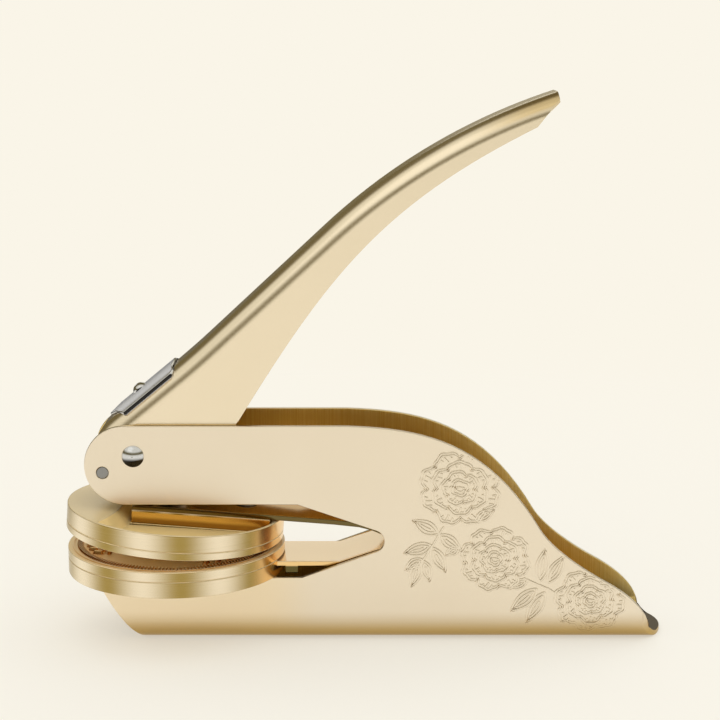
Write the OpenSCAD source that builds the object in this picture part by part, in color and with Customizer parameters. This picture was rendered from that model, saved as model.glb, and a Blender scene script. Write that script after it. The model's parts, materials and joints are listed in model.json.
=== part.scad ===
// Hand seal embosser: a folded sheet body with a jaw at its nose, a long lever
// that rocks on a cross pin, and a slide-out clip that carries two round dies.
// Millimetres. X runs from the nose to the tail, Z is up, Y = 0 is the mirror
// plane. The origin lies on the base, below the centre of the dies.

/* [Body] */
// Width over the two walls
body_w = 20; // [18.5:0.1:22]
// Height of the flat top edge over the base
body_h = 50.3; // [49:0.1:52]
// Thickness of the folded sheet
sheet = 1.2; // [0.8:0.05:1.3]
// Outside radius of the two bends along the bottom
bend_r = 4.5; // [3:0.1:5.5]
// Where the flat top edge ends and the sloping back begins
back_x = 39.5; // [36:0.5:44]
// End of the floor tongue at the tail
tail_x = 112.4; // [111:0.1:118]
// Radius of the tongue seen from above
tongue_r = 12; // [11:0.1:14]
// Where the flat of the base begins, in front of the dies' centre
base_front = -7.2; // [-9:0.1:-5]
// Radius of the curved front of the lower jaw
jaw_front_r = 42; // [36:0.5:50]

/* [Mouth] */
// Height of the mouth's upper edge
mouth_top = 32.15; // [31.8:0.05:33]
// Height of the lower jaw's edge, which carries the lower cup
jaw_z = 15; // [14:0.1:15.5]
// Far end of the mouth
mouth_x = 48; // [46:0.5:50]
// Radius of the mouth's round end
mouth_r = 2.6; // [2:0.1:3]

/* [Lever] */
// Height of the pivot over the base
pivot_z = 43.4; // [43:0.1:44]
// Distance of the pivot in front of the dies' centre
pivot_back = 8.5; // [8:0.1:9.5]
// Play between each cheek of the lever and the wall beside it
lever_play = 0.4; // [0.35:0.05:0.6]
// Outside radius of the lever's two top bends
lever_bend_r = 4.3; // [3.5:0.1:5]
// Distance of the lever's spine from the pivot
spine_r = 9.2; // [9:0.05:9.6]
// Angle of the spine near the pivot, lever up
spine_angle = 39.7; // [38:0.1:41]
// Straight run of the spine under the latch
spine_run = 19.6; // [18:0.1:22]
// Angle of the spine's long straight part
rise_angle = 42.9; // [42:0.1:44]
// Length of the long straight part
rise_run = 36.4; // [32:0.1:40]
// Angle of the spine at the tip
tip_angle = 18; // [15:0.5:22]
// Length of the curved outer part
tip_run = 62; // [61:0.5:64]
// Turn of the lever from up to fully pressed
press_angle = 30; // [28:0.5:30]

/* [Pins and roller] */
// Radius of the pivot pin
pivot_r = 2; // [1.6:0.05:2.2]
// Radius of the pivot pin's domed heads
dome_r = 2.55; // [2.3:0.05:3]
// Height of the domed heads
dome_h = 1.2; // [0.8:0.1:1.5]
// Radius of the stop pin
stop_r = 1.35; // [1:0.05:1.5]
// Distance of the stop pin from the pivot
stop_dist = 7.9; // [7.7:0.05:8.1]
// Direction of the stop pin from the pivot
stop_dir = 208.8; // [206:0.1:211]
// Radius of the press roller
roller_r = 4.45; // [4.2:0.05:4.6]
// Radius of the roller's pin
roller_pin_r = 1.5; // [1.2:0.05:1.8]
// Roller's place behind the pivot
roller_x = 7.5; // [7.3:0.1:7.8]
// Roller's place below the pivot
roller_drop = 7.5; // [7.2:0.05:7.6]
// Radius of the spacer sleeve inside the return spring
sleeve_r = 2.6; // [2.5:0.05:2.8]
// Radius to the middle of the spring's wire
coil_r = 3.6; // [3.4:0.05:3.9]
// Thickness of the spring's wire
wire_d = 0.9; // [0.7:0.05:0.95]
// Whole turns of the return spring
coil_turns = 7; // [5:1:7]
// Length of the coil along the pin
coil_len = 9.8; // [9.6:0.1:10]

/* [Latch] */
// Length of the latch saddle
latch_len = 19.3; // [17:0.1:21]
// How far the latch saddle stays inside the lever's sides
latch_inset = 1; // [0.9:0.1:1.5]
// Height of the saddle's top over the spine
latch_top = 0.75; // [0.6:0.05:1]
// How far its pointed front end reaches past its side corners
latch_point = 4.2; // [3:0.1:5]
// Travel of the latch towards the nose
latch_travel = 4; // [2:0.1:4]
// Radius of the knob on the latch
knob_r = 1.8; // [1.5:0.05:2.2]
// Height of the knob
knob_h = 1.3; // [1:0.05:1.6]

/* [Dies and clip] */
// Radius of the die cups
cup_r = 25; // [24.5:0.1:26]
// Height of the lower cup
lower_cup_h = 3.65; // [3.4:0.05:3.9]
// Height of the lower die
lower_die_h = 2.25; // [2:0.05:2.5]
// Height of the upper cup
upper_cup_h = 3.87; // [3.7:0.05:4]
// Height of the upper die
upper_die_h = 1.7; // [1.5:0.05:1.8]
// Room left for the paper when the dies are closed
paper_gap = 0.1; // [0.05:0.05:0.2]
// Depth of the pocket in the upper die's face
die_pocket = 0.9; // [0.8:0.05:1]
// Width of the ring round that pocket
die_rim = 1; // [0.8:0.1:1.5]
// Depth of the hollow in the upper cup's top
hollow = 2.87; // [2.5:0.01:2.9]
// Thickness of the thin wall round the hollow
rim_wall = 0.8; // [0.6:0.05:1.2]
// Distance of the hollow's front edge from the centre
ledge_x = 12; // [11:0.1:13]
// Radius of that edge seen from above
ledge_r = 47; // [40:1:55]
// Play between the spring arms and the walls beside them
arm_play = 0.8; // [0.6:0.1:1.8]
// Thickness of the spring arms
arm_t = 1.2; // [1:0.05:1.2]
// Front end of the upper arm
arm_front = 9.5; // [9:0.1:10]
// Height of the lower arm's top over the base
lower_arm_z = 18.3; // [18:0.05:18.4]
// Height of the joint between the two arms at the tail of the clip
tail_z = 23.2; // [22.8:0.1:23.6]
// Where the joined tail begins
tail_start = 52.2; // [51:0.1:53]
// Where the joined tail ends
tail_end = 62; // [61:0.1:63]
// Place of the upper arm's bending line
flex_x = 36.5; // [35:0.1:38]
// Height of the upper arm's bending line
flex_z = 26.5; // [26.3:0.05:26.7]
// Opening angle between the dies, lever up
gape = 4.5; // [4.3:0.05:4.6]

/* [Hidden] */
$fn = 96;

// Clearances: a shaft that turns, a piece that seats, a piece that slides
run_gap = 0.06;
seat_gap = 0.02;
slide_gap = 0.1;
over = 1; // how far a cut runs past the face that it opens

pivot_x = -pivot_back;
inner_w = body_w - 2 * sheet;
lever_w = inner_w - 2 * lever_play;
lever_inner = lever_w - 2 * sheet;
latch_w = lever_w - 2 * latch_inset;
arm_w = inner_w - 2 * arm_play;
nose_r = (body_h - mouth_top) / 2;
nose_x = pivot_x - 1.95;
nose_z = mouth_top + nose_r;
stop_pos = stop_dist * [cos(stop_dir), sin(stop_dir)];

// Stack of the dies, closed
cup_seat = jaw_z + seat_gap;
lower_seam = cup_seat + lower_cup_h;
lower_face = lower_seam + lower_die_h;
upper_face = lower_face + paper_gap;
upper_seam = upper_face + upper_die_h;
upper_rim = upper_seam + upper_cup_h;
arm_lift = 0.3;
upper_arm_z = upper_rim + arm_lift + arm_t;

// Points of a Bezier curve with four control points
function curve(p, n = 14) = [for (i = [0 : n]) let(t = i / n, u = 1 - t)
    u * u * u * p[0] + 3 * u * u * t * p[1] + 3 * u * t * t * p[2] + t * t * t * p[3]];
// Points of an arc round c, from angle a to angle b
function arc(c, r, a, b, n = 16) = [for (i = [0 : n]) let(w = a + (b - a) * i / n)
    c + r * [cos(w), sin(w)]];
function along(a) = [cos(a), sin(a)];
function across(a) = [-sin(a), cos(a)];
// A point of the closed upper jaw, opened about the bending line
function opened(p) = let(d = p - [flex_x, flex_z])
    [flex_x + d.x * cos(gape) + d.y * sin(gape), flex_z - d.x * sin(gape) + d.y * cos(gape)];
function unit(v) = v / norm(v);

// An outline drawn in X and Z, given a width across Y
module side(width) {
    rotate([90, 0, 0]) linear_extrude(width, center = true) children();
}
// A round bar across Y at a point of the side view
module bar(pos, r, width) {
    translate([pos.x, 0, pos.y]) rotate([90, 0, 0]) cylinder(r = r, h = width, center = true);
}
// The pivot's own frame
module at_pivot() {
    translate([pivot_x, 0, pivot_z]) children();
}
// The spine's frame: X along it, Z out of it, zero at the foot of the pivot's perpendicular
module on_spine() {
    at_pivot() rotate([0, -spine_angle, 0]) translate([0, 0, spine_r]) children();
}
// The upper jaw is drawn closed and opened here
module open_jaw() {
    translate([flex_x, 0, flex_z]) rotate([0, gape, 0]) translate([-flex_x, 0, -flex_z]) children();
}

// ---- Body ----

// Half angle between the mouth's two slopes, and where its round end is struck from
upper_slope = -18.9;
lower_slope = 19.9;
mouth_c = [mouth_x - mouth_r, (mouth_top + jaw_z) / 2];
function tangent_z(a, x) = mouth_c.y + mouth_r * (a < 0 ? 1 : -1) / cos(a) + tan(a) * (x - mouth_c.x);
function tangent_x(a, z) = mouth_c.x + (z - mouth_c.y - mouth_r * (a < 0 ? 1 : -1) / cos(a)) / tan(a);

jaw_foot = 227; // direction, from the centre of that curve, of the point where it meets the base
jaw_c = [base_front, 0] - jaw_front_r * along(jaw_foot);
jaw_a = 180 + asin((jaw_c.y - jaw_z) / jaw_front_r);
hip = [83.3, 26.3];
heel = [98.2, 14.1];
wall_end = [108.8, 2.7];
back_outline = concat(
    curve([[back_x, body_h], [56.8, body_h - 0.6], [71, 46.8], hip], 20),
    curve([hip, [86, 21.8], [93, 17], heel]),
    curve([heel, [103.2, 11.3], [108.3, 7.5], wall_end])
);

module body_outline() {
    polygon(concat(
        arc(jaw_c, jaw_front_r, jaw_a, jaw_foot),
        [[tail_x + over, 0], [tail_x + over, 1.9]],
        [for (i = [len(back_outline) - 1 : -1 : 0]) back_outline[i]],
        arc([nose_x, nose_z], nose_r, 90, 270, 32),
        [[tangent_x(upper_slope, mouth_top), mouth_top]],
        arc(mouth_c, mouth_r, 90 + upper_slope, lower_slope - 90, 12),
        [[tangent_x(lower_slope, jaw_z), jaw_z]]
    ));
}
// Section of a channel with round bends: X is height over the bottom, Y is width
module channel(width, r, depth) {
    translate([r, -width / 2]) square([depth - r, width]);
    translate([0, r - width / 2]) square([depth, width - 2 * r]);
    for (s = [-1, 1]) translate([r, s * (width / 2 - r)]) circle(r);
}
module body_section() {
    top = body_h + over;
    difference() {
        channel(body_w, bend_r, top);
        translate([sheet, 0]) channel(inner_w, bend_r - sheet, top);
    }
}
module body_shell() {
    color("khaki") difference() {
        intersection() {
            translate([-30, 0, 0]) rotate([180, -90, 0]) linear_extrude(tail_x + 40) body_section();
            side(body_w + 2) body_outline();
            translate([0, 0, -over]) linear_extrude(body_h + 3 * over) {
                translate([-30, -body_w]) square([tail_x - tongue_r + 30, 2 * body_w]);
                translate([tail_x - tongue_r, 0]) circle(tongue_r);
            }
        }
        bar([pivot_x, pivot_z], pivot_r + seat_gap, body_w + 2);
        bar([pivot_x, pivot_z] + stop_pos, stop_r + seat_gap, body_w + 2);
    }
}
// Folded bracket, welded between the walls, that the clip's tail slides into
module clip_socket() {
    mouth = [tail_end - 7, tail_end + slide_gap];
    low = tail_z - arm_t - slide_gap;
    high = tail_z + arm_t + slide_gap;
    color("tan") difference() {
        translate([mouth[0], -inner_w / 2, low - sheet])
            cube([mouth[1] - mouth[0] + sheet, inner_w, high - low + 2 * sheet]);
        translate([mouth[0] - over, -arm_w / 2 - slide_gap, low])
            cube([mouth[1] - mouth[0] + over, arm_w + 2 * slide_gap, high - low]);
    }
}

// ---- Pins ----

// A round dome of radius r and height h that stands on Z = 0
module dome(r, h) {
    ball = (r * r + h * h) / (2 * h);
    intersection() {
        translate([0, 0, h - ball]) sphere(ball);
        cylinder(r = r + over, h = h + over);
    }
}
module pivot_pin() {
    color("silver") {
        bar([pivot_x, pivot_z], pivot_r, body_w);
        at_pivot() translate([0, -body_w / 2, 0]) rotate([90, 0, 0]) dome(dome_r, dome_h);
    }
}
module pivot_cap() {
    color("silver") at_pivot() translate([0, body_w / 2, 0]) rotate([-90, 0, 0]) dome(dome_r, dome_h);
}
module stop_pin() {
    color("gray") bar([pivot_x, pivot_z] + stop_pos, stop_r, body_w);
}
// Thin shims that centre the lever between the walls
module pivot_washers() {
    room = (inner_w - lever_w) / 2;
    color("silver") at_pivot() for (s = [-1, 1]) translate([0, s * (lever_w + room) / 2, 0])
        rotate([90, 0, 0]) difference() {
            cylinder(r = dome_r + 2, h = room - slide_gap, center = true);
            cylinder(r = pivot_r + run_gap, h = room + over, center = true);
        }
}

// ---- Return spring ----

wire_r = wire_d / 2;
wire_gap = 0.15; // between the spring's legs and what they press on
// Points where the fixed leg passes the stop pin and where the moving leg meets the spine
leg_pin = stop_pos + (stop_r + wire_r + wire_gap) * across(stop_dir);
leg_spine = 10 * along(spine_angle) + (spine_r - sheet - wire_r - 2 * wire_gap) * across(spine_angle);
function lean(p) = acos(coil_r / norm(p));
coil_start = atan2(leg_pin.y, leg_pin.x) + lean(leg_pin);
coil_stop = atan2(leg_spine.y, leg_spine.x) - lean(leg_spine) + 360 * coil_turns;
coil_steps = 8 * (coil_turns + 1);
leg_end = leg_pin - 1.2 * across(coil_start);
spring_path = concat(
    [[leg_end.x, -coil_len / 2, leg_end.y]],
    [for (i = [0 : coil_steps]) let(f = i / coil_steps, w = coil_start + (coil_stop - coil_start) * f)
        [coil_r * cos(w), (f - 0.5) * coil_len, coil_r * sin(w)]],
    [[leg_spine.x, coil_len / 2, leg_spine.y]]
);
coil_pitch = coil_len / ((coil_stop - coil_start) / 360);
echo(least_gap_between_turns = coil_pitch - wire_d);

// A tube of radius r with n sides along a path that never runs along Y
module tube(path, r, n) {
    last = len(path) - 1;
    rings = [for (i = [0 : last])
        let(t = unit(path[min(i + 1, last)] - path[max(i - 1, 0)]), u = unit([0, 1, 0] - t.y * t), v = cross(t, u))
        for (k = [0 : n - 1]) path[i] + r * (cos(360 * k / n) * u + sin(360 * k / n) * v)];
    polyhedron(rings, concat(
        [for (k = [1 : n - 2]) [0, k, k + 1]],
        [for (k = [1 : n - 2]) [last * n, last * n + k + 1, last * n + k]],
        [for (i = [0 : last - 1], k = [0 : n - 1]) let(a = i * n + k, b = i * n + (k + 1) % n) [a, a + n, b]],
        [for (i = [0 : last - 1], k = [0 : n - 1]) let(a = i * n + k, b = i * n + (k + 1) % n) [b, a + n, b + n]]
    ));
}
module return_spring() {
    color("dimgray") at_pivot() tube(spring_path, wire_r, 6);
}

// ---- Lever ----

ease_run = 9.9; // the slight hollow curve between the spine's two straight parts
tip_radius = tip_run / ((rise_angle - tip_angle) * PI / 180);
ease_radius = ease_run / ((rise_angle - spine_angle) * PI / 180);
foot = spine_r * across(spine_angle);
ease_start = foot + spine_run * along(spine_angle);
rise_start = ease_start - ease_radius * (across(rise_angle) - across(spine_angle));
tip_start = rise_start + rise_run * along(rise_angle);
tip_end = tip_start + tip_radius * (across(tip_angle) - across(rise_angle)) - [0.4, 0];
lobe_r = 3.4; // cheek round the roller's pin
roller_pos = [roller_x, -roller_drop];
knee = [23.8, 7.9]; // where the lever's lower edge comes out of the body
tip_low = [90.6, 73.7];

// Stations along the spine, from its front end at the pivot's height to the tip: point, angle
stations = concat(
    [for (i = [0 : 5]) let(a = 90 + (spine_angle - 90) * i / 6) [spine_r * across(a), a]],
    [for (s = [0, 2, 4, 6]) [foot + s * along(spine_angle), spine_angle]],
    [[ease_start, spine_angle]],
    [for (i = [1 : 2]) let(a = spine_angle + (rise_angle - spine_angle) * i / 2)
        [ease_start - ease_radius * (across(a) - across(spine_angle)), a]],
    [for (i = [1 : 5]) [rise_start + rise_run * i / 5 * along(rise_angle), rise_angle]],
    [for (i = [1 : 12]) let(a = rise_angle + (tip_angle - rise_angle) * i / 12)
        [tip_start + tip_radius * (across(a) - across(rise_angle)), a]]
);
// The cheek's edge opposite each station: drawn in where the stop pin runs, then round
// the hub and the roller's pin, then the long lower edge
hub_in = stop_dist - stop_r - 0.35;
cheek_edge = concat(
    [for (a = [200, 217, 234, 251]) hub_in * along(a)],
    [for (a = [262, 284]) (spine_r - 0.1) * along(a)],
    [for (a = [225, 257, 290, 322]) roller_pos + lobe_r * along(a)],
    curve([knee, [44.4, 41.4], [56.4, 56.8], tip_low], len(stations) - 11)
);
bend_steps = 5;
// Half of the lever's section: depth under the spine and distance from the mirror plane
function bend_line(d) = [for (i = [0 : bend_steps]) let(a = 90 * i / bend_steps)
    [lever_bend_r - (lever_bend_r - d) * sin(a), lever_w / 2 - lever_bend_r + (lever_bend_r - d) * cos(a)]];
function ring(k, d) = let(
    p = stations[k][0], n = across(stations[k][1]), e = cheek_edge[k],
    half = concat([[e.x, lever_w / 2 - d, e.y]],
        [for (q = bend_line(d)) let(v = p - q.x * n) [v.x, q.y, v.y]])
) concat(half, [for (i = [len(half) - 1 : -1 : 0]) [half[i].x, -half[i].y, half[i].z]]);
// The folded channel: an outer and an inner skin joined along the edges and at both ends
module folded_channel() {
    last = len(stations) - 1;
    w = 2 * (bend_steps + 2);
    points = concat(
        [for (k = [0 : last]) each ring(k, 0)], [for (k = [0 : last]) each ring(k, sheet)]
    );
    in = (last + 1) * w;
    function quad(a, b, c, d) = [[a, b, c], [a, c, d]];
    polyhedron(points, concat(
        [for (k = [0 : last - 1], i = [0 : w - 2]) let(a = k * w + i) each quad(a, a + w, a + w + 1, a + 1)],
        [for (k = [0 : last - 1], i = [0 : w - 2]) let(a = in + k * w + i) each quad(a, a + 1, a + w + 1, a + w)],
        [for (k = [0 : last - 1]) let(a = k * w) each quad(a, in + a, in + a + w, a + w)],
        [for (k = [0 : last - 1]) let(a = k * w + w - 1) each quad(a, a + w, in + a + w, in + a)],
        [for (i = [0 : w - 2]) each quad(i, i + 1, in + i + 1, in + i)],
        [for (i = [0 : w - 2]) let(a = last * w + i) each quad(a, in + a, in + a + 1, a + 1)]
    ));
}
module handle() {
    slot_s = latch_len / 2 - 0.5;
    color("khaki") difference() {
        at_pivot() folded_channel();
        // slanting open end
        at_pivot() side(lever_w + 2) polygon([
            tip_low, [93.3, 76.6], [tip_end.x - 0.2, 79.7], [tip_end.x, tip_end.y + 10],
            [tip_end.x + 20, tip_end.y], tip_low + [10, -20]
        ]);
        bar([pivot_x, pivot_z], pivot_r + run_gap, lever_w + 2);
        bar([pivot_x, pivot_z] + roller_pos, roller_pin_r + seat_gap, lever_w + 2);
        // slot for the latch's shank
        on_spine() translate([0, 0, -sheet - over]) {
            for (d = [0, latch_travel])
                translate([slot_s - d, 0, 0]) cylinder(r = shank_r + slide_gap, h = sheet + 2 * over);
            translate([slot_s - latch_travel, -shank_r - slide_gap, 0])
                cube([latch_travel, 2 * (shank_r + slide_gap), sheet + 2 * over]);
        }
    }
}
module spring_sleeve() {
    color("silver") at_pivot() rotate([90, 0, 0]) difference() {
        cylinder(r = sleeve_r, h = lever_inner - 2 * slide_gap, center = true);
        cylinder(r = pivot_r + run_gap, h = lever_inner + over, center = true);
    }
}
module roller_pin() {
    color("silver") bar([pivot_x, pivot_z] + roller_pos, roller_pin_r, lever_w);
}
module press_roller() {
    color("gray") difference() {
        bar([pivot_x, pivot_z] + roller_pos, roller_r, lever_inner - 1);
        bar([pivot_x, pivot_z] + roller_pos, roller_pin_r + run_gap, lever_w);
    }
}

// ---- Latch ----

shank_r = 1.2;
latch_gap = 0.06; // between the saddle and the spine
latch_flat = 8.4; // width of the saddle's flat top
latch_side = 1; // height of its upright edges
latch_fall = 1.1; // how far each sloping side drops
keeper_t = 1;
knob_s = latch_len / 2 - 0.5;
module latch_section() {
    difference() {
        polygon([
            [-latch_w / 2, latch_top - latch_fall - latch_side], [-latch_w / 2, latch_top - latch_fall],
            [-latch_flat / 2, latch_top], [latch_flat / 2, latch_top],
            [latch_w / 2, latch_top - latch_fall], [latch_w / 2, latch_top - latch_fall - latch_side]
        ]);
        translate([0, latch_gap]) rotate(-90)
            channel(lever_w + 2 * latch_gap, lever_bend_r + latch_gap, 3 * lever_bend_r);
    }
}
module latch_plan() {
    half = latch_w / 2;
    nick = 1;
    polygon([
        [0, 0], [latch_point, -half], [latch_len - nick, -half], [latch_len, nick - half],
        [latch_len, half - nick], [latch_len - nick, half], [latch_point, half]
    ]);
}
module latch_slide() {
    color("lightgray") on_spine() difference() {
        intersection() {
            rotate([90, 0, 90]) linear_extrude(latch_len) latch_section();
            translate([0, 0, -5]) linear_extrude(10) latch_plan();
        }
        translate([knob_s, 0, -over]) cylinder(r = shank_r + seat_gap, h = latch_top + 2 * over);
    }
}
module latch_knob() {
    head = 0.5;
    low = -sheet - slide_gap - keeper_t;
    color("silver") on_spine() translate([knob_s, 0, 0]) {
        translate([0, 0, latch_top]) dome(knob_r, knob_h);
        translate([0, 0, low]) cylinder(r = shank_r, h = latch_top - low);
        translate([0, 0, low - head]) cylinder(r = knob_r, h = head);
    }
}
// Plate under the spine that holds the latch down, with a turned-down lip at its front
module latch_keeper() {
    half_len = 5.5;
    width = latch_flat;
    lip = 1.5;
    color("gray") on_spine() translate([knob_s, 0, -sheet - slide_gap - keeper_t]) difference() {
        union() {
            translate([-half_len, -width / 2, 0]) cube([2 * half_len, width, keeper_t]);
            translate([-half_len, -width / 4, -lip]) cube([keeper_t, width / 2, lip + keeper_t]);
        }
        translate([0, 0, -over]) cylinder(r = shank_r + seat_gap, h = keeper_t + 2 * over);
    }
}

// ---- Clip, lower half ----

// A strip seen from the side: its upper line, given a thickness
module strip(top) {
    polygon(concat(top, [for (i = [len(top) - 1 : -1 : 0]) top[i] - [0, arm_t]]));
}
lower_bend = tail_start - (tail_z - lower_arm_z) / tan(18.7);
channel_front = 14; // front end of the lower arm, under the die
tail_pins = [[tail_start + 1.6, -4], [tail_start + 1.6, 4]];
cup_pins = [[-9, 0], [7, 0]];
arm_pins = [[7, 0], [16, 0]];
die_pins = [[0, -15], [0, 15]];
rivet_r = 1.5;
die_pin_r = 1;
module pegs(places, r, low, high) {
    for (p = places) translate([p.x, p.y, low]) cylinder(r = r, h = high - low);
}
module lower_arm() {
    tab = [cup_r + 0.4, cup_r + 3.4]; // small tab under the arm that keys the clip behind the cup
    color("khaki") difference() {
        union() {
            side(arm_w) strip([
                [-channel_front, lower_arm_z], [lower_bend, lower_arm_z],
                [tail_start, tail_z], [tail_end, tail_z]
            ]);
            translate([tab[0], -arm_w / 2, lower_arm_z - arm_t - 1.6])
                cube([tab[1] - tab[0], arm_w, 1.6]);
        }
        pegs(tail_pins, rivet_r + seat_gap, tail_z - arm_t - over, tail_z + over);
        pegs(cup_pins, rivet_r + seat_gap, lower_arm_z - arm_t - over, lower_arm_z + over);
    }
}
module tail_rivets() {
    color("silver") pegs(tail_pins, rivet_r, tail_z - arm_t, tail_z + arm_t);
}
module lower_cup() {
    floor_z = lower_arm_z - arm_t;
    color("darkkhaki") difference() {
        translate([0, 0, cup_seat]) cylinder(r = cup_r, h = lower_cup_h);
        translate([-channel_front - seat_gap, -arm_w / 2 - seat_gap, floor_z])
            cube([channel_front + cup_r + over, arm_w + 2 * seat_gap, lower_cup_h]);
        pegs(cup_pins, rivet_r + seat_gap, cup_seat + 0.6, floor_z + over);
        pegs(die_pins, die_pin_r + seat_gap, lower_seam - 1.5, lower_seam + over);
    }
}
module lower_cup_rivets() {
    color("silver") pegs(cup_pins, rivet_r, cup_seat + 0.6, lower_arm_z);
}
module lower_die_pins() {
    color("silver") pegs(die_pins, die_pin_r, lower_seam - 1.5, lower_seam + 1.5);
}
module lower_die() {
    color("goldenrod") difference() {
        translate([0, 0, lower_seam]) cylinder(r = cup_r, h = lower_die_h);
        pegs(die_pins, die_pin_r + seat_gap, lower_seam - over, lower_seam + 1.5);
    }
}

// ---- Clip, upper half, drawn closed ----

arm_bend_x = 42.5;
upper_tail = tail_z + arm_t;
module upper_arm() {
    color("khaki") difference() {
        side(arm_w) strip([
            opened([-arm_front, upper_arm_z]), opened([flex_x, upper_arm_z]),
            [arm_bend_x, upper_tail + 3.05], [arm_bend_x + 3, upper_tail + 2.3],
            [arm_bend_x + 6.5, upper_tail + 0.8], [tail_start, upper_tail], [tail_end, upper_tail]
        ]);
        pegs(tail_pins, rivet_r + seat_gap, tail_z - over, upper_tail + over);
        open_jaw() pegs(arm_pins, rivet_r + seat_gap, upper_arm_z - arm_t - over, upper_arm_z + over);
    }
}
// Block in the hollow that the arm is riveted to
module arm_block() {
    translate([-arm_front, -arm_w / 2, upper_rim - hollow - over])
        cube([arm_front + cup_r - 3, arm_w, hollow + over + arm_lift]);
}
module upper_cup() {
    floor_z = upper_rim - hollow;
    color("darkkhaki") open_jaw() difference() {
        union() {
            difference() {
                translate([0, 0, upper_seam]) cylinder(r = cup_r, h = upper_cup_h);
                difference() {
                    translate([0, 0, floor_z]) cylinder(r = cup_r - rim_wall, h = hollow + over);
                    translate([-ledge_x - ledge_r, 0, floor_z - over])
                        cylinder(r1 = ledge_r + hollow + over, r2 = ledge_r - over, h = hollow + 2 * over);
                }
            }
            arm_block();
        }
        pegs(arm_pins, rivet_r + seat_gap, floor_z + 0.5, upper_rim + over);
        pegs(die_pins, die_pin_r + seat_gap, upper_seam - over, upper_seam + 0.7);
    }
}
module upper_cup_rivets() {
    color("silver") open_jaw() {
        pegs(arm_pins, rivet_r, upper_rim - hollow + 0.5, upper_arm_z);
        for (p = arm_pins) translate([p.x, p.y, upper_arm_z]) cylinder(r = 2.4, h = 0.35);
    }
}
module upper_die_pins() {
    color("silver") open_jaw() pegs(die_pins, die_pin_r, upper_seam - 0.5, upper_seam + 0.7);
}
module upper_die() {
    color("goldenrod") open_jaw() difference() {
        translate([0, 0, upper_face]) cylinder(r = cup_r, h = upper_die_h);
        translate([0, 0, upper_face - over]) cylinder(r = cup_r - die_rim, h = die_pocket + over);
        pegs(die_pins, die_pin_r + seat_gap, upper_seam - 0.5, upper_seam + over);
    }
}

body_shell();
pivot_pin();
pivot_cap();
stop_pin();
pivot_washers();
return_spring();
clip_socket();
handle();
spring_sleeve();
roller_pin();
press_roller();
latch_slide();
latch_knob();
latch_keeper();
lower_arm();
tail_rivets();
lower_cup();
lower_cup_rivets();
lower_die_pins();
lower_die();
upper_arm();
upper_cup();
upper_cup_rivets();
upper_die_pins();
upper_die();
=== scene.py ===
# %% [markdown]
# # A hand seal embosser
# A folded sheet body holds a springy clip, which carries two round dies, and a long
# lever presses them together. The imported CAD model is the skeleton: every piece here
# sits where it says. Sizes are written in millimetres, and MM turns them into metres.

# %% Load the frame
import json
import math

import bmesh
import bpy
from mathutils import Matrix, Vector

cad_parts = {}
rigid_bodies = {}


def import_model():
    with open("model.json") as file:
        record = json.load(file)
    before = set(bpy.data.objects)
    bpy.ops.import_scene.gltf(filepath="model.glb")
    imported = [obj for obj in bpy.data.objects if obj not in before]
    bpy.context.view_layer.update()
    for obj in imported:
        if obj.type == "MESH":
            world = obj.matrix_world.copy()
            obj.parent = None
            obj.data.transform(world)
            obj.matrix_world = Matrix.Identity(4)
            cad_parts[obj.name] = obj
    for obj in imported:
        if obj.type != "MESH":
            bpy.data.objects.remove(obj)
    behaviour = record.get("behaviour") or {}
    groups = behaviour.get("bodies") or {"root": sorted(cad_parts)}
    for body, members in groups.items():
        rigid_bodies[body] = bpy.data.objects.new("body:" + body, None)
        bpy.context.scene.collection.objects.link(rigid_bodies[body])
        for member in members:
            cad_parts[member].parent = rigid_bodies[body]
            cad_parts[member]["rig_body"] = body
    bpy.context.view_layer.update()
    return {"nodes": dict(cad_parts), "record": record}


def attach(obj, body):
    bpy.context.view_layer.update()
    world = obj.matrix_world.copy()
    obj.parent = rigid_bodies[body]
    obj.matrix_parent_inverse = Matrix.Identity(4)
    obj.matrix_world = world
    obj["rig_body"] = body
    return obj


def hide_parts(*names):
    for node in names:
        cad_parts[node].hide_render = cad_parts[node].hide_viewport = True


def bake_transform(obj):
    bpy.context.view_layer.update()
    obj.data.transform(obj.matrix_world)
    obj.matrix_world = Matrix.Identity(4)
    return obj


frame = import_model()
MM = 0.001

# %% [markdown]
# ## The camera
# The photograph looks slightly down on the object from straight in front. The lens,
# the place and the tilt could be guessed by eye, but here they were fitted until the
# outline and the round rims fell on those in the picture. The camera comes first, so
# that each later piece can be judged in its frame.

# %% Camera
LENS = 86.53
SENSOR = 36
CAMERA_AT = (0.04249, -0.38712, 0.13799)
CAMERA_DOWN = 10.89

scene = bpy.context.scene
camera = bpy.data.objects.new("camera", bpy.data.cameras.new("camera"))
scene.collection.objects.link(camera)
camera.data.lens = LENS
camera.data.sensor_width = SENSOR
camera.location = CAMERA_AT
camera.rotation_euler = (math.radians(90 - CAMERA_DOWN), 0, 0)
scene.camera = camera
scene.view_settings.view_transform = "Standard"
print("camera at", tuple(camera.location), "lens", LENS)

# %% [markdown]
# ## Shader arithmetic
# A gradient or a grain is a sum or product of a few numbers, and each step of it is a
# Math node. The nodes could be made and linked one by one, but then the sum is hard to
# read. A small class round a socket lets it be written as a Python expression, and
# each operator then adds its own node.


# %% One way to add any node
def find(sockets, key):
    """A socket by its place, or by its name among those in use."""
    if isinstance(key, int):
        return sockets[key]
    return next(s for s in sockets if key in (s.identifier, s.name) and s.enabled)


def fill(tree, socket, value):
    """Links a Value to a socket, or writes a plain number or colour into it."""
    if isinstance(value, Value):
        tree.links.new(value.socket, socket)
    else:
        socket.default_value = value


def node(tree, kind, settings=None, inputs=None, output=0):
    """Adds a node, settings first and then its sockets, and gives back one output."""
    made = tree.nodes.new(kind)
    for key, value in (settings or {}).items():
        setattr(made, key, value)
    for key, value in (inputs or {}).items():
        fill(tree, find(made.inputs, key), value)
    return Value(tree, find(made.outputs, output))


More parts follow.
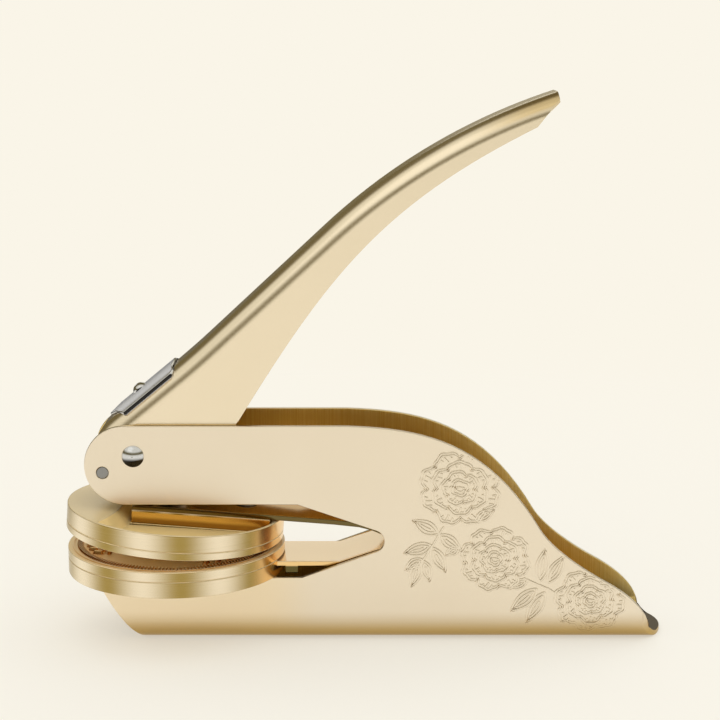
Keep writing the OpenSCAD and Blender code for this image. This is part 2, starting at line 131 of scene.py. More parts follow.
# %% A socket that can be added, multiplied, ramped and used to blend
class Value:
    def __init__(self, tree, socket):
        self.tree = tree
        self.socket = socket

    def math(self, operation, *others):
        settings = {"operation": operation}
        return node(self.tree, "ShaderNodeMath", settings, dict(enumerate((self, *others))))

    def __add__(self, other):
        return self.math("ADD", other)

    def __sub__(self, other):
        return self.math("SUBTRACT", other)

    def __mul__(self, other):
        return self.math("MULTIPLY", other)

    def __rsub__(self, other):
        return self * -1 + other

    __radd__ = __add__
    __rmul__ = __mul__

    def ramp(self, low, high, bottom=0, top=1):
        """Goes smoothly from bottom to top while this value goes from low to high."""
        settings = {"interpolation_type": "SMOOTHSTEP"}
        inputs = {0: self, 1: low, 2: high, 3: bottom, 4: top}
        return node(self.tree, "ShaderNodeMapRange", settings, inputs)

    def blend(self, a, b):
        """Colour a where this value is 0, and colour b where it is 1."""
        inputs = {"Factor_Float": self, "A_Color": a, "B_Color": b}
        return node(self.tree, "ShaderNodeMix", {"data_type": "RGBA"}, inputs, "Result_Color")


# %% [markdown]
# ## Colours
# Colours are easiest to name as they are read off a screen, from 0 to 255. A shader
# works with linear numbers, so each one is turned into those when it is named.


# %% Screen colour to shader colour
def tone(red, green, blue):
    linear = []
    for value in (red, green, blue):
        v = value / 255
        linear.append(v / 12.92 if v <= 0.04045 else ((v + 0.055) / 1.055) ** 2.4)
    return (*linear, 1)


print("a middle grey in linear numbers", tone(128, 128, 128))

# %% [markdown]
# ## A finish
# Each finish is one Principled shader, and patterns set its colour, gloss and bump. A
# painted picture would need an unwrapped surface. Patterns of the object's own
# coordinates don't, and laid out in millimetres they keep their scale on every side.


# %% A material with helpers for its patterns
class Finish:
    def __init__(self, name, **numbers):
        self.material = bpy.data.materials.new(name)
        self.material.use_nodes = True
        self.tree = self.material.node_tree
        self.shader = self.tree.nodes["Principled BSDF"]
        self.set(**numbers)

    def set(self, **sockets):
        for key, value in sockets.items():
            fill(self.tree, find(self.shader.inputs, key.replace("_", " ")), value)

    def node(self, kind, settings=None, inputs=None, output=0):
        return node(self.tree, kind, settings, inputs, output)

    def place(self, scale=(1, 1, 1), turn=0):
        """Object coordinates in millimetres, scaled and then turned about Y by degrees."""
        coords = self.node("ShaderNodeTexCoord", output="Object")
        inputs = {"Vector": coords, "Scale": [s / MM for s in scale]}
        inputs["Rotation"] = (0, math.radians(turn), 0)
        return self.node("ShaderNodeMapping", {}, inputs)

    def split(self, vector):
        return [self.node("ShaderNodeSeparateXYZ", {}, {0: vector}, axis) for axis in range(3)]

    def facing(self):
        """The X, Y and Z parts of the way in which the surface faces."""
        return self.split(self.node("ShaderNodeTexCoord", output="Normal"))

    def noise(self, vector, detail, roughness=0.5):
        inputs = {"Vector": vector, "Scale": 1, "Detail": detail, "Roughness": roughness}
        return self.node("ShaderNodeTexNoise", {}, inputs)

    def bump(self, height, strength, depth):
        inputs = {"Height": height, "Strength": strength, "Distance": depth * MM}
        self.set(Normal=self.node("ShaderNodeBump", {}, inputs))


# %% [markdown]
# ## The body's sheet
# The body is folded from a satin champagne-gold sheet. Its flat sides are pale, with a
# grain that hardly shows, and the inside of the fold is a brushed deep gold. The rest is
# painted light and shade: painted shade towards the bottom bend, painted shade on cut
# edges and raised lines that face down and back, a painted warm reflection at the bottom
# of the nose, and painted shade inside the tail's tongue. In so plain a studio one colour
# all over would look even, so masks paint in these lights and shades. A mask is a ramp
# over a place in millimetres, or over the way that the surface faces.

# %% Satin sheet of the body
BODY_SIDE = [tone(244, 232, 213), tone(239, 226, 205)]
BODY_NOSE_PAINTED_REFLECTION = tone(248, 220, 164)
BODY_EDGE_PAINTED_SHADE = tone(132, 108, 68)
BODY_BEND_PAINTED_SHADE = tone(192, 162, 100)
BODY_INSIDE = [tone(240, 210, 132), tone(255, 232, 162)]
BODY_TAIL_PAINTED_SHADE = tone(76, 61, 32)
CLOUDS = (0.05, 0.05, 0.05)


def body_sheet():
    m = Finish("body_gold", Metallic=1)
    x, y, z = m.split(m.place())
    face_x, face_y, face_z = m.facing()
    side = m.noise(m.place(CLOUDS), 1).blend(*BODY_SIDE)
    # Painted reflection: the bottom of the nose is warmed, as by the gold dies below it.
    nose = z.ramp(33, 28) * x.ramp(34, 20)
    side = (nose * 0.35).blend(side, BODY_NOSE_PAINTED_REFLECTION)
    # Painted shade: faces that point down and back are darkened, on cut edges and on the raised
    # spray.
    back_and_down = (face_x * 0.6 - face_z * 0.8).ramp(0.2, 0.6)
    edge = back_and_down * z.ramp(5.5, 7.5)
    side = (edge * 0.85).blend(side, BODY_EDGE_PAINTED_SHADE)
    # Painted shade: the sheet darkens towards the bottom bend.
    outside = z.ramp(7.5, 1.2).blend(side, BODY_BEND_PAINTED_SHADE)
    brushed = m.noise(m.place((6, 6, 0.05)), 3, 0.7)
    inside = brushed.ramp(0.3, 0.7).blend(*BODY_INSIDE)
    inward = (y * face_y).ramp(-2, -6)
    # Painted shade: the inside of the tail's tongue is dark.
    tail = x.ramp(99, 101) * face_z.ramp(0.3, 0.6) * z.ramp(7, 6)
    m.set(Base_Color=tail.blend(inward.blend(outside, inside), BODY_TAIL_PAINTED_SHADE))
    grain = m.noise(m.place((5, 5, 0.12)), 3, 0.6)
    m.set(Roughness=0.27 + grain * 0.08)
    m.bump(grain, 0.1, 0.03)
    return m.material


# %% [markdown]
# ## The lever's sheet
# The lever is folded from the same sheet, rolled over two long bends. Towards the tip its
# bends get painted shade, and its inside is a deeper gold. The grain runs lengthwise, so
# its pattern is stretched along X, which is simpler than unwrapping the bends. The
# stretched pattern is then turned, so that it doesn't line up with the noise's grid.

# %% Satin sheet of the lever
LEVER_SIDE = [tone(246, 232, 208), tone(240, 226, 199)]
LEVER_BEND_PAINTED_SHADE = tone(206, 180, 128)
LEVER_INSIDE = tone(236, 200, 124)
GRAIN_TURN = 42


def lever_sheet():
    m = Finish("lever_gold", Metallic=1)
    x, y = m.split(m.place())[:2]
    face_y = m.facing()[1]
    sideways = face_y.math("ABSOLUTE")
    outside = m.noise(m.place(CLOUDS), 1).blend(*LEVER_SIDE)
    # Painted shade: the round bends darken towards the tip.
    tip_bend_shade = sideways.ramp(0.15, 0.4) * sideways.ramp(0.98, 0.88)
    near_tip = x.ramp(64, 82)
    outside = (tip_bend_shade * near_tip * 0.8).blend(outside, LEVER_BEND_PAINTED_SHADE)
    inward = (y * face_y).ramp(-2, -5)
    m.set(Base_Color=inward.blend(outside, LEVER_INSIDE))
    grain = m.noise(m.place((0.2, 6, 6), GRAIN_TURN), 3, 0.6)
    m.set(Roughness=0.21 + grain * 0.07)
    m.bump(grain, 0.08, 0.03)
    return m.material


# %% [markdown]
# ## Turned metal
# The cups and dies are turned on a lathe. Fine rings run round them, and their satin
# rims get broad soft bands of painted light and shade. To the right the rims get a
# painted warm reflection, as they would mirror the gold arms. An anisotropic shader could
# make such bands, but they would follow the lamps. A cosine of the angle round the disc
# paints them in place.

# %% Rim bands of painted light and shade
JAW_HINGE = (36.5, 26.5)
JAW_OPEN = 4.5
RIM_PAINTED_LIGHT = tone(244, 230, 204)
RIM_PAINTED_SHADE = tone(168, 144, 82)
RIM_PAINTED_REFLECTION = tone(255, 212, 146)
BANDS = 9
BANDS_SHIFT = 0.314
RINGS_PER_MM = 3


class Turned(Finish):
    """A finish that also knows the radius and height of a point, and where it is flat."""

    def __init__(self, name):
        super().__init__(name)
        x, y, z = self.split(self.place())
        angle = y.math("ARCTAN2", x)
        self.radius = (x * x + y * y).math("SQRT")
        self.height = z + (x - JAW_HINGE[0]) * math.tan(math.radians(JAW_OPEN))
        self.flat = self.facing()[2].math("ABSOLUTE").ramp(0.4, 0.6)
        rings = {0: self.radius * RINGS_PER_MM, 1: z * RINGS_PER_MM, 2: 0.0}
        self.fine = self.noise(self.node("ShaderNodeCombineXYZ", {}, rings), 3, 0.6)
        # Painted light and shade: soft bands in the rim's colour, set by the angle round the
        # disc.
        painted_bands = (angle * BANDS + BANDS_SHIFT).math("COSINE") * 0.5 + 0.5
        painted_rim = (painted_bands + (self.fine - 0.5) * 0.2).blend(RIM_PAINTED_LIGHT, RIM_PAINTED_SHADE)
        # Painted reflection: the rims warm towards the right, where they would mirror the gold
        # arms.
        arm_reflection = angle.ramp(math.radians(-46), math.radians(-30))
        arm_reflection = arm_reflection * angle.ramp(math.radians(40), math.radians(10))
        self.painted_rim = (arm_reflection * 0.85).blend(painted_rim, RIM_PAINTED_REFLECTION)
        self.bump(self.fine, 0.08, 0.02)


# %% Cups: a dull flat top, and bright gold in the hollow of the upper one, with painted shade low on its wall
CUP_TOP = tone(228, 206, 160)
HOLLOW_WALL_PAINTED_SHADE = [tone(240, 200, 118), tone(168, 126, 60)]
HOLLOW_FLOOR = tone(255, 226, 158)


def cup_metal():
    m = Turned("cup_gold")
    above_floor = m.height.ramp(23.2, 23.4)
    below_rim = m.height.ramp(26.48, 26.42)
    within_wall = m.radius.ramp(24.6, 24.4)
    hollow = above_floor * below_rim * within_wall
    outer = m.flat.blend(m.painted_rim, CUP_TOP)
    # Painted shade: the hollow's wall darkens towards its floor.
    wall = m.height.ramp(25.7, 24.7).blend(*HOLLOW_WALL_PAINTED_SHADE)
    inner = m.flat.blend(wall, HOLLOW_FLOOR)
    m.set(Base_Color=hollow.blend(outer, inner))
    m.set(Metallic=1 - m.flat * 0.9)
    m.set(Roughness=0.2 + m.fine * 0.06 - hollow * 0.08)
    return m.material


# %% Dies: champagne rims round a warm face, with painted shade on the sides of its relief
DIE_FACE = tone(255, 232, 184)
DIE_RELIEF_PAINTED_SHADE = tone(196, 132, 56)


def die_metal():
    m = Turned("die_gold")
    face = m.flat.math("MAXIMUM", m.radius.ramp(24.6, 24.2))
    colour = face.blend(m.painted_rim, DIE_FACE)
    # Painted shade: the sides of the raised relief are darkened.
    relief_side_shade = (1 - m.flat) * m.radius.ramp(24.2, 23.8)
    m.set(Base_Color=(relief_side_shade * 0.8).blend(colour, DIE_RELIEF_PAINTED_SHADE))
    m.set(Metallic=1 - m.flat * 0.8)
    m.set(Roughness=0.18 + m.fine * 0.06)
    return m.material


# %% [markdown]
# ## The arms
# The two arms are polished. The lower one has painted light on its top and painted shade
# on the tab beneath. The upper one has a painted reflection of the dark body above it: a
# deeper top and olive sides. Both share one material: masks by height tell one arm from
# the other.

# %% Polished arms
ARM_GOLD = [tone(250, 214, 156), tone(240, 202, 140)]
LOWER_ARM_TOP_PAINTED_LIGHT = tone(255, 232, 198)
LOWER_ARM_TAB_PAINTED_SHADE = tone(100, 90, 54)
UPPER_ARM_TOP_PAINTED_REFLECTION = tone(200, 158, 92)
UPPER_ARM_SIDE_PAINTED_REFLECTION = tone(112, 98, 62)


def arm_metal():
    m = Finish("arm_gold", Roughness=0.12)
    z = m.split(m.place())[2]
    face_y, face_z = m.facing()[1:]
    upward = face_z.ramp(0.4, 0.6)
    lower_arm = z.ramp(22.5, 21.5)
    upper_arm = z.ramp(22.5, 23.0)
    painted_light_top = upward * lower_arm
    colour = m.noise(m.place((0.2, 2, 2)), 3).blend(*ARM_GOLD)
    # Painted light: the top of the lower arm is paler.
    colour = painted_light_top.blend(colour, LOWER_ARM_TOP_PAINTED_LIGHT)
    # Painted shade: the tab under the lower arm is dark.
    colour = z.ramp(17.3, 17.0).blend(colour, LOWER_ARM_TAB_PAINTED_SHADE)
    # Painted reflection of the dark body above: the upper arm's top is deeper and its sides
    # olive.
    colour = (upward * upper_arm).blend(colour, UPPER_ARM_TOP_PAINTED_REFLECTION)
    side = face_y.math("ABSOLUTE").ramp(0.5, 0.8) * upper_arm
    m.set(Base_Color=side.blend(colour, UPPER_ARM_SIDE_PAINTED_REFLECTION))
    m.set(Metallic=1 - painted_light_top * 0.2)
    return m.material


# %% [markdown]
# ## Plain metals
# The pins and the latch are chromed or bare steel. A noise breaks up their gloss a
# little, as on real plated parts. Chrome also shows dark places, where it mirrors the
# dark of a room. The studio here is simpler than a room, and a dark card for each
# place would darken the gold as well, so these dark places are painted reflections, set
# by the way a face points.

# %% Chrome and steel
PAINTED_MIRRORED_DARK = tone(50, 49, 48)


def plain_metal(name, light, dark, rough, shade=None, satin=None):
    """shade and satin take the parts of the way that a face points, and give a mask; shade paints
    dark reflections in.
    """
    m = Finish(name, Metallic=1)
    worn = m.noise(m.place((4, 4, 4)), 3)
    colour = worn.blend(light, dark)
    if shade:
        # Painted reflection: dark places where chrome would mirror a dark room.
        colour = shade(m.facing()).blend(colour, PAINTED_MIRRORED_DARK)
    if satin:
        m.set(Metallic=1 - satin(m.facing()) * 0.95)
    m.set(Base_Color=colour)
    m.set(Roughness=rough - 0.04 + worn * 0.08)
    return m.material


def painted_dark_sides(facing):
    return facing[1].math("ABSOLUTE").ramp(0.8, 0.92)


def satin_top(facing):
    return (facing[2] - facing[0]).ramp(1.28, 1.38)


def painted_dark_below(facing):
    return facing[2].ramp(0.0, -0.3)


# %% Make every finish
finishes = {
    "body_gold": body_sheet(),
    "lever_gold": lever_sheet(),
    "cup_gold": cup_metal(),
    "die_gold": die_metal(),
    "arm_gold": arm_metal(),
}
PLAIN_METALS = {
    "latch_chrome": (tone(236, 236, 238), tone(205, 206, 210), 0.13, painted_dark_sides, satin_top),
    "chrome": (tone(228, 229, 232), tone(200, 202, 206), 0.16, painted_dark_below),
    "steel": (tone(168, 168, 168), tone(140, 140, 140), 0.42),
    "spring_steel": (tone(150, 150, 154), tone(118, 118, 122), 0.28),
}
for name, details in PLAIN_METALS.items():
    finishes[name] = plain_metal(name, *details)
print("finishes", sorted(finishes))

# %% [markdown]
# ## Which finish goes where
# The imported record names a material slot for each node. The slots could be listed
# again here, but reading them keeps these pieces and the CAD in step.

# %% Slot and body of each node
slot_of = {part["node"]: part["material_slot"] for part in frame["record"]["subparts"]}
body_of = {name: shown["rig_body"] for name, shown in frame["nodes"].items()}
for name, shown in frame["nodes"].items():
    shown.data.materials.clear()
    shown.data.materials.append(finishes[slot_of[name]])
print(slot_of)


# %% Put a finished mesh in the scene
def piece(name, mesh, body, slot, replaces=()):
    """Makes an object of a mesh or a bmesh, with its finish, its body and its nodes."""
    if isinstance(mesh, bmesh.types.BMesh):
        data = bpy.data.meshes.new(name)
        mesh.to_mesh(data)
        mesh.free()
        mesh = data
    made = bpy.data.objects.new(name, mesh)
    scene.collection.objects.link(made)
    mesh.materials.clear()
    mesh.materials.append(finishes[slot])
    if replaces:
        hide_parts(*replaces)
    if body:
        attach(made, body)
    print(name, len(mesh.polygons), "faces")
    return made


def smooth(made, angle=35):
    """Shades a piece smoothly, apart from edges sharper than the angle in degrees."""
    made.data.polygons.foreach_set("use_smooth", [True] * len(made.data.polygons))
    made.data.set_sharp_from_angle(angle=math.radians(angle))
    weighted = made.modifiers.new("even shading", "WEIGHTED_NORMAL")
    weighted.keep_sharp = True


# %% [markdown]
# ## Softened edges
# No real metal edge is perfectly sharp: a tiny round catches the light. Most CAD nodes
# have the right shape but for that, so a copy of each is merged into whole faces, and
# its sharp edges are bevelled. The bevel operator is used because it works on just the
# edges that it is given, which are picked by how sharply they fold.

# %% Copy a node with rounded edges
SAME_POINT = 0.003
SAME_PLANE = 0.6
SHARP = 28
EDGE_WIDTH = {
    "body_shell": 0.18, "clip_socket": 0.2, "lower_arm": 0.22,
    "lower_cup": 0.2, "upper_cup": 0.22, "lower_die": 0.2, "upper_die": 0.2,
    "latch_slide": 0.3, "latch_knob": 0.12, "latch_keeper": 0.2,
    "pivot_pin": 0.1, "pivot_cap": 0.1, "stop_pin": 0.2, "upper_cup_rivets": 0.1,
    "press_roller": 0.3, "roller_pin": 0.2, "spring_sleeve": 0.1, "pivot_washers": 0.1,
    "tail_rivets": 0.2, "lower_cup_rivets": 0.2,
}


def soften(name, width):
    bm = bmesh.new()
    bm.from_mesh(frame["nodes"][name].data)
    bmesh.ops.remove_doubles(bm, verts=bm.verts, dist=SAME_POINT * MM)
    limit = math.radians(SAME_PLANE)
    bmesh.ops.dissolve_limit(bm, angle_limit=limit, verts=bm.verts, edges=bm.edges)
    folds = [e for e in bm.edges if len(e.link_faces) == 2]
    sharp = [e for e in folds if e.calc_face_angle(0) > math.radians(SHARP)]
    bmesh.ops.bevel(
        bm, geom=sharp, offset=width * MM, offset_type="OFFSET", affect="EDGES",
        segments=2, profile=0.5, material=-1, clamp_overlap=False,
    )
    smooth(piece(name + "_dressed", bm, body_of[name], slot_of[name], (name,)))


for name, width in EDGE_WIDTH.items():
    soften(name, width)

# %% [markdown]
# ## The lever
# The lever is one folded sheet: a long spine that curves gently, a round bend along
# each of its sides, and flat cheeks below. A box could be pushed and subdivided into
# this shape, but its bends would waver. So half of its section is swept along the
# spine by extruding edges, the flat cheek is filled as one face, and the other half is
# a mirror image. Solidify then gives the sheet its thickness.

# %% The spine's line
PIVOT = Vector((-8.5, 0, 43.4))
SPINE_REACH = 9.2
LOW_ANGLE = 39.7
LOW_RUN = 19.6
EASE_RUN = 9.9
STEEP_ANGLE = 42.9
STEEP_RUN = 36.4
TIP_ANGLE = 17
TIP_RUN = 62
END_RUN = 0.6


def along(angle):
    return Vector((math.cos(math.radians(angle)), 0, math.sin(math.radians(angle))))


def across(angle):
    return along(angle + 90)


def steps(start, stop, count):
    """count even steps from start to stop, without start itself."""
    return [start + (stop - start) * i / count for i in range(1, count + 1)]


foot = SPINE_REACH * across(LOW_ANGLE)
ease_start = foot + LOW_RUN * along(LOW_ANGLE)
ease_r = EASE_RUN / math.radians(STEEP_ANGLE - LOW_ANGLE)
rise_start = ease_start - ease_r * (across(STEEP_ANGLE) - across(LOW_ANGLE))
tip_start = rise_start + STEEP_RUN * along(STEEP_ANGLE)
tip_r = TIP_RUN / math.radians(STEEP_ANGLE - TIP_ANGLE)

line = [(SPINE_REACH * across(a), a) for a in [90, *steps(90, LOW_ANGLE, 10)]]
line += [(foot + s * along(LOW_ANGLE), LOW_ANGLE) for s in (6, 12, LOW_RUN)]
for a in steps(LOW_ANGLE, STEEP_ANGLE, 4):
    line.append((ease_start - ease_r * (across(a) - across(LOW_ANGLE)), a))
for s in steps(0, STEEP_RUN, 6):
    line.append((rise_start + s * along(STEEP_ANGLE), STEEP_ANGLE))
for a in steps(STEEP_ANGLE, TIP_ANGLE, 24):
    line.append((tip_start + tip_r * (across(a) - across(STEEP_ANGLE)), a))
line.append((line[-1][0] + END_RUN * along(TIP_ANGLE), TIP_ANGLE))
print("spine stations", len(line), "tip", line[-1][0])


# %% Sweep a chain of edges
def swept(bm, section, stations, place):
    """Extrudes a chain of edges from station to station; place gives each vertex its point."""
    chain = [bm.verts.new(place(stations[0], s)) for s in section]
    rows = [chain]
    for station in stations[1:]:
        pairs = list(zip(chain, chain[1:]))
        edges = [bm.edges.get(pair) or bm.edges.new(pair) for pair in pairs]
        made = set(bmesh.ops.extrude_edge_only(bm, edges=edges)["geom"])
        ahead = [[e.other_vert(v) for e in v.link_edges] for v in chain]
        chain = [next(v for v in near if v in made) for near in ahead]
        for v, s in zip(chain, section):
            v.co = place(station, s)
        rows.append(chain)
    return rows


def everything(bm):
    return [*bm.verts, *bm.edges, *bm.faces]


# %% The lever's half section
BEND_RADIUS = 4.3
HALF_WIDTH = 8.4


def half_section():
    """How far below the spine and how far aside, from the middle round the bend."""
    flat = HALF_WIDTH - BEND_RADIUS
    section = [(0, 0), (0, flat / 2)]
    for a in [0, *steps(0, math.pi / 2, 12)]:
        below = BEND_RADIUS * (1 - math.cos(a))
        section.append((below, flat + BEND_RADIUS * math.sin(a)))
    return section


def on_lever(station, spot):
    point, angle = station
    below, aside = spot
    at = PIVOT + point - below * across(angle)
    return Vector((at.x, -aside, at.z)) * MM


print("half section", len(half_section()), "points")

# %% The cheek's lower edge, from the pivot
NOTCH_RADIUS = 6.2
ROLLER_PIN = Vector((7.5, 0, -7.5))
LUG_RADIUS = 3.4
BACK = [(23.8, 0, 7.9), (44.4, 0, 41.4), (56.4, 0, 56.8), (90.6, 0, 73.7)]
PAST_TIP = Vector((97, 0, 79))


def curve(points, count):
    """Points on the smooth curve that four control points give."""
    a, b, c, d = (Vector(p) for p in points)
    found = []
    for i in range(count + 1):
        t = i / count
        u = 1 - t
        found.append(u**3 * a + 3 * u * u * t * b + 3 * u * t * t * c + t**3 * d)
    return found


def cheek_edge():
    """Round the hub, with a notch for the stop pin, round the roller's pin, and up the back."""
    edge = [SPINE_REACH * along(a) for a in (182, 190, 196)]
    edge += [NOTCH_RADIUS * along(a) for a in (198, 210, 222, 234, 246, 250)]
    edge += [SPINE_REACH * along(a) for a in (252, 262, 272, 282, 292)]
    edge += [ROLLER_PIN + LUG_RADIUS * along(a) for a in (235, 252, 269, 286, 303, 322)]
    return [*edge, *curve(BACK, 30), PAST_TIP]


print("cheek's edge", len(cheek_edge()), "points")

# %% The whole lever
TIP_CUTS = [((92.3, 0, 76.6), (3.1, 0, -2.44)), ((94.3, 0, 80), (1, 0, 0.1))]


def lever():
    bm = bmesh.new()
    rows = swept(bm, half_section(), line, on_lever)
    aside = Vector((0, -HALF_WIDTH, 0))
    lower = [bm.verts.new((PIVOT + p + aside) * MM) for p in cheek_edge()]
    bm.faces.new([row[-1] for row in rows] + lower[::-1])
    for point, way in TIP_CUTS:
        cut = (PIVOT + Vector(point)) * MM
        bmesh.ops.bisect_plane(
            bm, geom=everything(bm), plane_co=cut, plane_no=way, clear_outer=True,
        )
    bmesh.ops.mirror(bm, geom=everything(bm), axis="Y", merge_dist=0.001 * MM)
    bmesh.ops.remove_doubles(bm, verts=bm.verts, dist=0.002 * MM)
    bmesh.ops.recalc_face_normals(bm, faces=bm.faces)
    return bm


# %% Give a sheet its thickness
SHEET = 1.2


def thicken(made, edge):
    wall = made.modifiers.new("sheet", "SOLIDIFY")
    wall.thickness = SHEET * MM
    wall.offset = -1
    wall.use_even_offset = True
    rounded = made.modifiers.new("soft edges", "BEVEL")
    rounded.width = edge * MM
    rounded.segments = 2
    rounded.limit_method = "ANGLE"
    rounded.angle_limit = math.radians(50)
    smooth(made, 40)


made = piece("lever", lever(), None, "lever_gold", ("handle",))
thicken(made, 0.18)
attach(made, "handle")

# %% [markdown]
# ## The upper spring arm
# The upper die hangs on a flat springy arm, which bends as the lever comes down. Two
# stiff plates with a hinge would show a crease. So the arm is one ribbon with many cross
# lines, laid out with the jaw open. It is joined to no body here, so it doesn't bend.

# %% Upper arm
ARM_FRONT = -9.5
ARM_TOP = 28.09
TAIL_HIGH = 24.4
TAIL_STEPS = [
    (42.5, TAIL_HIGH + 3.05), (45.5, TAIL_HIGH + 2.3), (49, TAIL_HIGH + 0.8),
    (52.2, TAIL_HIGH), (62, TAIL_HIGH),
]
CROSS_LINES = 0.8


def opened(x, z):
    """Where a point of the closed jaw is at rest, when the jaw stands open."""
    turn = math.radians(JAW_OPEN)
    dx = x - JAW_HINGE[0]
    dz = z - JAW_HINGE[1]
    opened_x = JAW_HINGE[0] + dx * math.cos(turn) + dz * math.sin(turn)
    opened_z = JAW_HINGE[1] - dx * math.sin(turn) + dz * math.cos(turn)
    return (opened_x, opened_z)


corners = [opened(ARM_FRONT, ARM_TOP), opened(JAW_HINGE[0], ARM_TOP), *TAIL_STEPS]
path = [corners[0]]
for (x0, z0), (x1, z1) in zip(corners, corners[1:]):
    count = max(1, round((x1 - x0) / CROSS_LINES))
    path += zip(steps(x0, x1, count), steps(z0, z1, count))
ribbon = bmesh.new()
swept(ribbon, (-8, -4, 0, 4, 8), path, lambda at, y: Vector((at[0], y, at[1])) * MM)
bmesh.ops.recalc_face_normals(ribbon, faces=ribbon.faces)
if sum(f.normal.z for f in ribbon.faces) < 0:
    bmesh.ops.reverse_faces(ribbon, faces=ribbon.faces)
arm = piece("upper_spring_arm", ribbon, None, "arm_gold", ("upper_arm",))
thicken(arm, 0.2)
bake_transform(arm)

# %% [markdown]
# ## The return spring
# A torsion spring round the pivot lifts the lever again. One end stays with the body,
# beside the stop pin, and the other turns with the lever, under its spine. A screw
# modifier could wind the turns, but not the two legs. So the wire is one line of
# points, drawn as a curve with a round section and turned into a mesh.


# %% A wire along a line of points
def wire(name, points, radius, roundness):
    data = bpy.data.curves.new(name, "CURVE")
    data.dimensions = "3D"
    data.bevel_depth = radius * MM
    data.bevel_resolution = roundness
    data.use_fill_caps = True
    spline = data.splines.new("POLY")
    spline.points.add(len(points) - 1)
    for p, at in zip(spline.points, points):
        p.co = (*(Vector(at) * MM), 1)
    holder = bpy.data.objects.new(name, data)
    scene.collection.objects.link(holder)
    seen = holder.evaluated_get(bpy.context.evaluated_depsgraph_get())
    mesh = bpy.data.meshes.new_from_object(seen)
    bpy.data.objects.remove(holder)
    return mesh


# %% Wound wire
COIL_RADIUS = 3.6
WIRE_RADIUS = 0.45
COIL_LENGTH = 9.8
TURNS = 7
POINTS = 256
STOP_REACH = 7.9
STOP_ANGLE = 208.8
STOP_RADIUS = 1.35
STOP_GAP = 0.15
SPINE_GAP = 0.3
LEG_REACH = 10
LEG_PAST_STOP = 1.2

beside_pin = STOP_RADIUS + WIRE_RADIUS + STOP_GAP
under_spine = SPINE_REACH - SHEET - WIRE_RADIUS - SPINE_GAP
pin = STOP_REACH * along(STOP_ANGLE) + beside_pin * across(STOP_ANGLE)
rest = LEG_REACH * along(LOW_ANGLE) + under_spine * across(LOW_ANGLE)
pin_lean, rest_lean = (math.degrees(math.acos(COIL_RADIUS / v.length)) for v in (pin, rest))
start = math.degrees(math.atan2(pin.z, pin.x)) + pin_lean
stop = math.degrees(math.atan2(rest.z, rest.x)) - rest_lean + 360 * TURNS
near_end = Vector((0, -COIL_LENGTH / 2, 0))
turns = [start, *steps(start, stop, POINTS)]
coil = [COIL_RADIUS * along(w) + near_end * (1 - 2 * i / POINTS) for i, w in enumerate(turns)]
winding = [pin - LEG_PAST_STOP * across(start) + near_end, *coil, rest - near_end]
strand = wire("spring", [PIVOT + p for p in winding], WIRE_RADIUS, 3)
spring = piece("wound_spring", strand, None, "spring_steel", ("return_spring",))
smooth(spring, 60)
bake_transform(spring)
print("spring turns", (stop - start) / 360)

# %% [markdown]
# ## The raised spray on the walls
# The walls carry a raised spray of blossoms and leaves, drawn in thin double lines. It
# is a generic design made by formula: ruffled rings for the blossoms and pointed ovals
# for the leaves. Bump alone would leave the mesh bare. So each line is a thin wire, half
# sunk in the wall. Light draws both its sides, helped by the body's painted shade on
# faces that point down and back.

# %% Blossoms as ruffled rings
SQUEEZE = 0.94
LINE_GAP = 0.62
RING_TURN = 0.8
TWIST = 0.35
LOBE_POINTS = 20
RUFFLE = 0.02
RINGS = [(1.0, 8, 0.17), (0.72, 6, 0.17), (0.47, 5, 0.2), (0.25, 4, 0.22)]
TICKS = [(0.5, 0.2, 0.8), (0.32, 0.45, 0.82), (0.68, 0.4, 0.85)]


def on_blossom(centre, radius, angle):
    """A point of a blossom, which is a little lower than it is wide."""
    return (centre[0] + radius * math.cos(angle), centre[1] + radius * math.sin(angle) * SQUEEZE)


def ring_line(centre, radius, lobes, depth, phase):
    points = []
    count = lobes * LOBE_POINTS
    for i in range(count + 1):
        a = 2 * math.pi * i / count
        lobe = abs(math.sin(lobes * a / 2 + phase))
        ruffle = math.sin(2.5 * lobes * a + 2 * phase) * RUFFLE
        r = radius * (1 - depth + depth * lobe**0.7 + ruffle)
        points.append(on_blossom(centre, r, a + TWIST * phase))
    return points


def tick(centre, near, far, angle, tilt):
    """A short bent line, from near to far from the centre, inside a petal."""
    ends = [(near, angle + tilt * 0.4), ((near + far) / 2, angle), (far, angle - tilt * 0.3)]
    return [on_blossom(centre, r, a) for r, a in ends]


def heart(centre, radius):
    points = []
    for i in range(13):
        turn = 0.5 * i
        dx = radius * 0.11 * math.cos(turn)
        dz = radius * 0.009 * i * math.sin(turn)
        points.append((centre[0] + dx, centre[1] + dz))
    return points


# %% Put a blossom together
def blossom(centre, radius, phase):
    """Each row of RINGS is a share of the radius, how many petals, and how deep they cut."""
    lines = []
    for step, (share, lobes, depth) in enumerate(RINGS):
        for ring in (radius * share, radius * share - LINE_GAP):
            lines.append(ring_line(centre, ring, lobes, depth, phase + RING_TURN * step))
    for step, (share, lobes, _) in enumerate(RINGS[:-1]):
        inner = RINGS[step + 1][0]
        turned = phase + RING_TURN * step
        for k in range(lobes):
            tilt = 0.1 * math.sin(5 * k + phase)
            for offset, low, high in TICKS:
                a = 2 * (math.pi * (k + offset) - turned) / lobes + TWIST * turned
                near = radius * (inner + (share - inner) * low) * 0.97
                far = radius * (inner + (share - inner) * high) * 0.95
                lines.append(tick(centre, near, far, a, tilt))
    return [*lines, heart(centre, radius)]


# %% Leaves as pointed ovals
INNER_OVAL = 0.52


